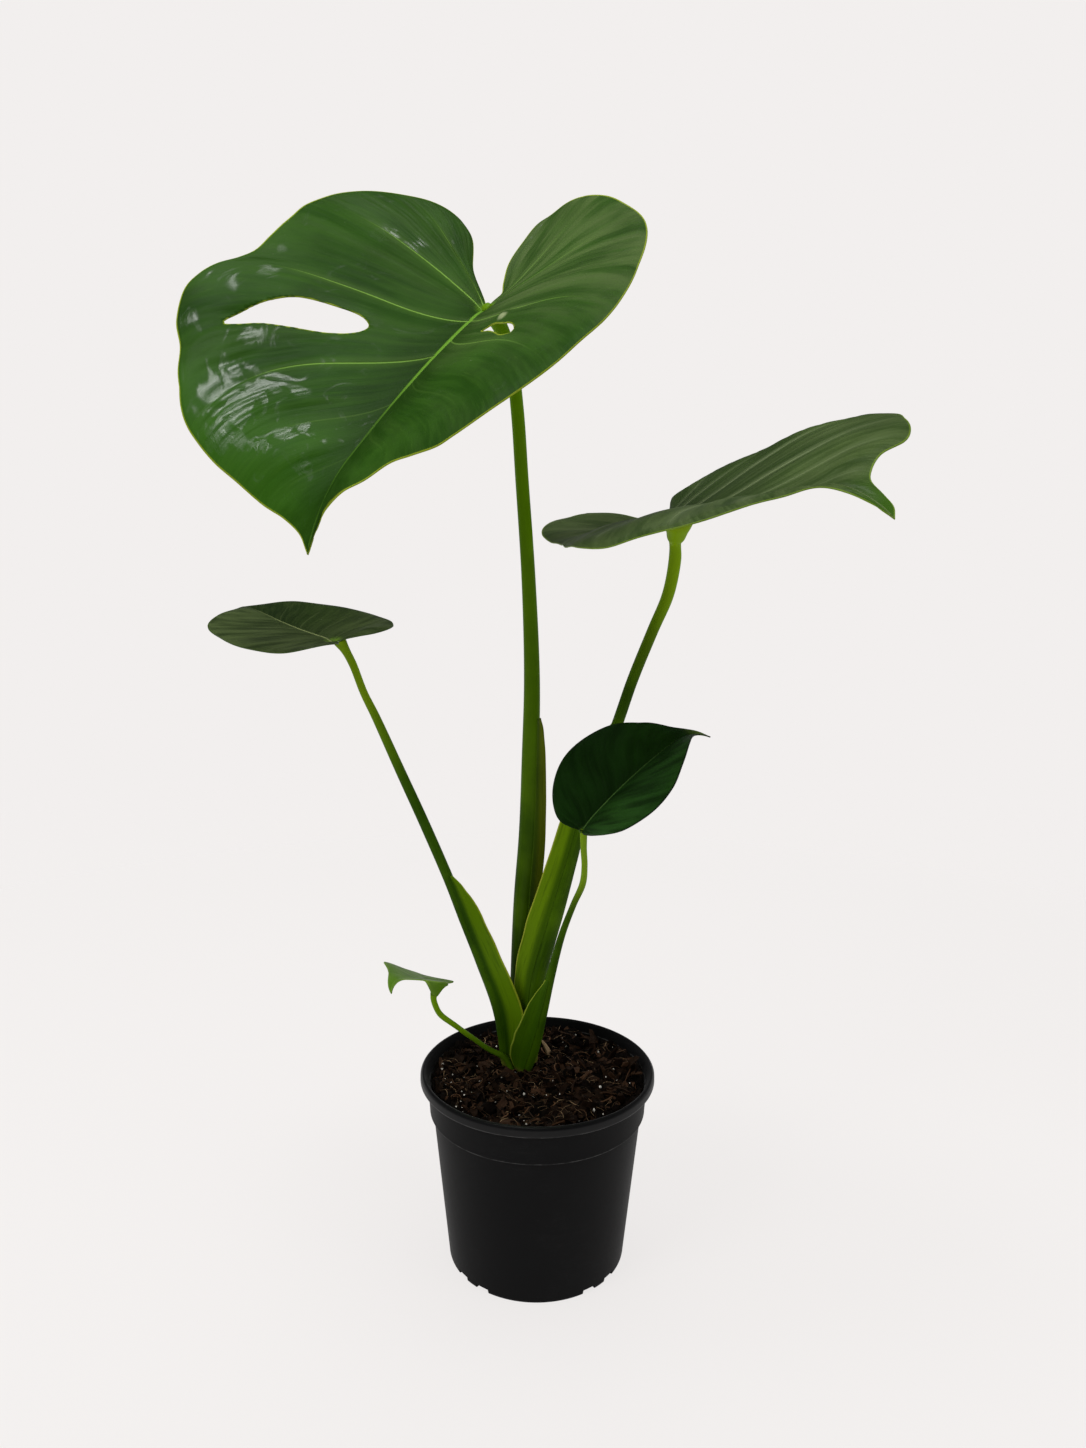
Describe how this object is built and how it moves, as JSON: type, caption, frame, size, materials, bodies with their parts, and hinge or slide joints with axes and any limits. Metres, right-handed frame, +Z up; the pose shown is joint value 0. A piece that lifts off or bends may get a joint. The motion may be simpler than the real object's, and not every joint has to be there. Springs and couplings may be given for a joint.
{
  "type": "potted swiss cheese plant",
  "caption": "Young climbing aroid house plant with broad heart-shaped leaves on long sheathed stalks, in a round tapered nursery pot filled with bark soil.",
  "frame": {"origin": "middle of the pot's underside, on the surface that the pot stands on", "axes": "+Z up, +X to the right as the picture sees the plant, +Y away from the camera"},
  "size_m": [0.394, 0.2346, 0.6714],
  "materials": {
    "pot_plastic": "satin black moulded plastic",
    "potting_soil": "rough dark bark and coir mix",
    "stem_skin": "dull green-brown",
    "dry_bract": "dry and papery",
    "leaf_stalk": "smooth and slightly glossy green",
    "leaf_blade": "leathery green with a soft gloss",
    "dark_leaf_blade": "leathery dark green with a soft gloss"
  },
  "bodies": {
    "root": {"pot": "pot_plastic", "soil": "potting_soil", "rootstock": "stem_skin", "dry_bract": "dry_bract", "petiole_1": "leaf_stalk", "petiole_2": "leaf_stalk", "petiole_3": "leaf_stalk", "petiole_4": "leaf_stalk", "petiole_5": "leaf_stalk", "blade_1": "leaf_blade", "blade_2": "leaf_blade", "blade_3": "leaf_blade", "blade_4": "dark_leaf_blade", "blade_5": "leaf_blade"}
  },
  "joints": []
}
